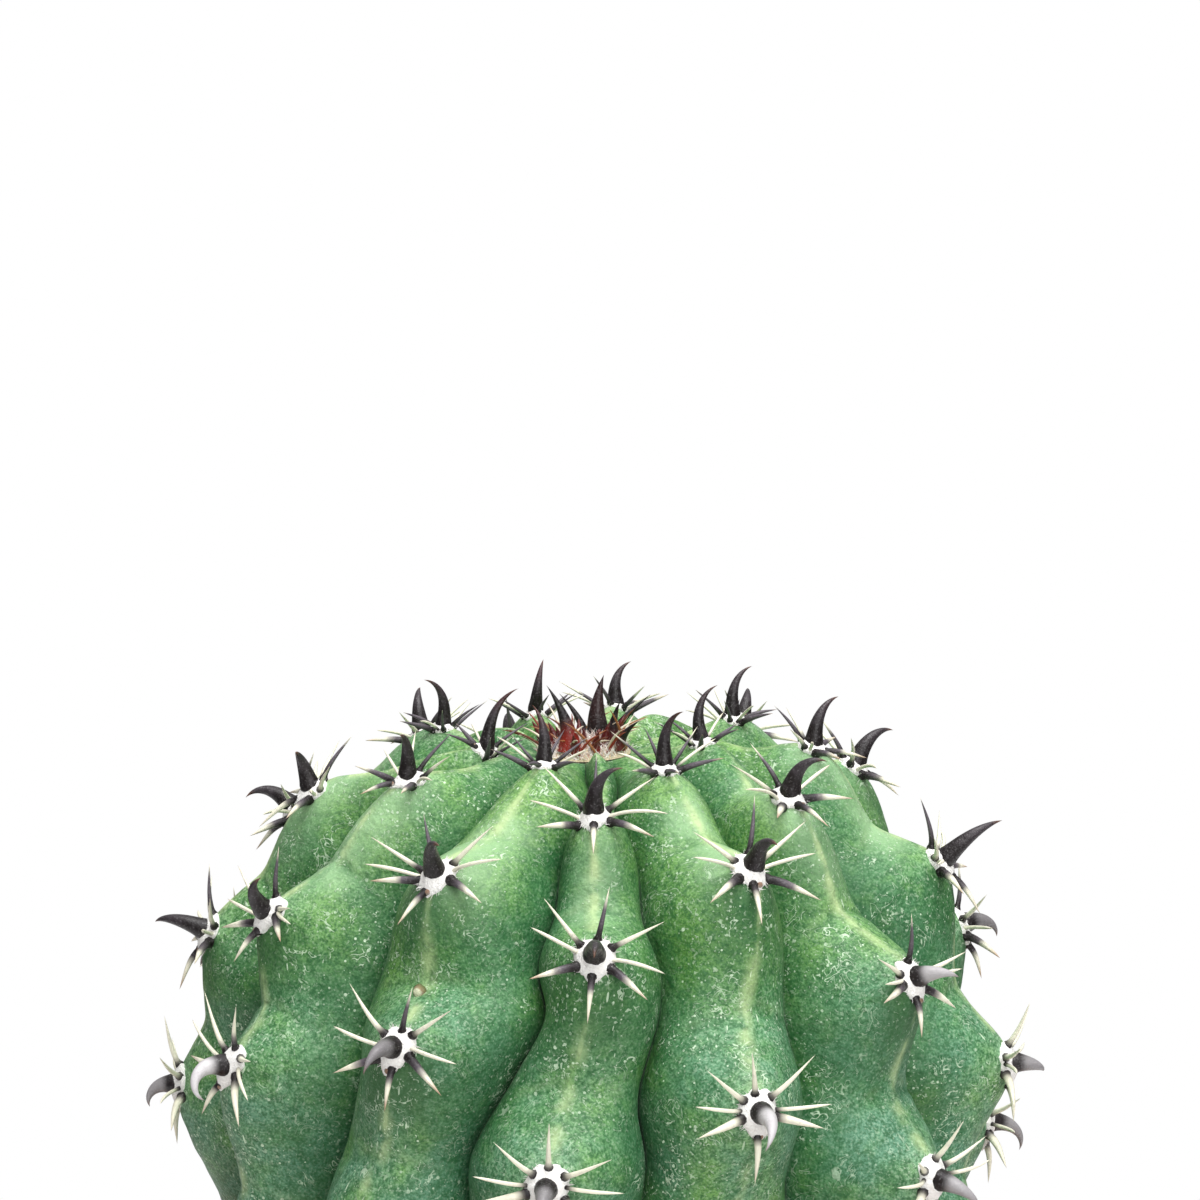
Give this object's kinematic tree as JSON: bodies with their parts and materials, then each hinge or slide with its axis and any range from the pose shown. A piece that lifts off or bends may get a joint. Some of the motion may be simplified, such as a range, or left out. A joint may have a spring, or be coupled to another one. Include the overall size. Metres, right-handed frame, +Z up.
{
  "type": "potted barrel cactus",
  "caption": "Young ribbed barrel cactus with hooked spine clusters and a woolly crown, planted in a plain clay pot with soil and a ring of stone grit.",
  "frame": {"origin": "centre of the pot's foot on the surface that it stands on", "axes": "+Z up along the pot's axis, -Y towards the side that the picture shows, +X to the right of that view"},
  "size_m": [0.1992, 0.1992, 0.2818],
  "materials": {
    "cactus_skin": "waxy green plant skin",
    "crown_wool": "felted wool with young red spines",
    "clay": "matte unglazed clay",
    "soil": "loose mineral potting mix",
    "grit": "crushed stone",
    "gravel": "coarse gravel"
  },
  "bodies": {
    "root": {"stem_spined": "cactus_skin", "crown_tuft": "crown_wool", "pot": "clay", "potting_mix": "soil", "top_grit": "grit", "drain_gravel": "gravel"}
  },
  "joints": []
}
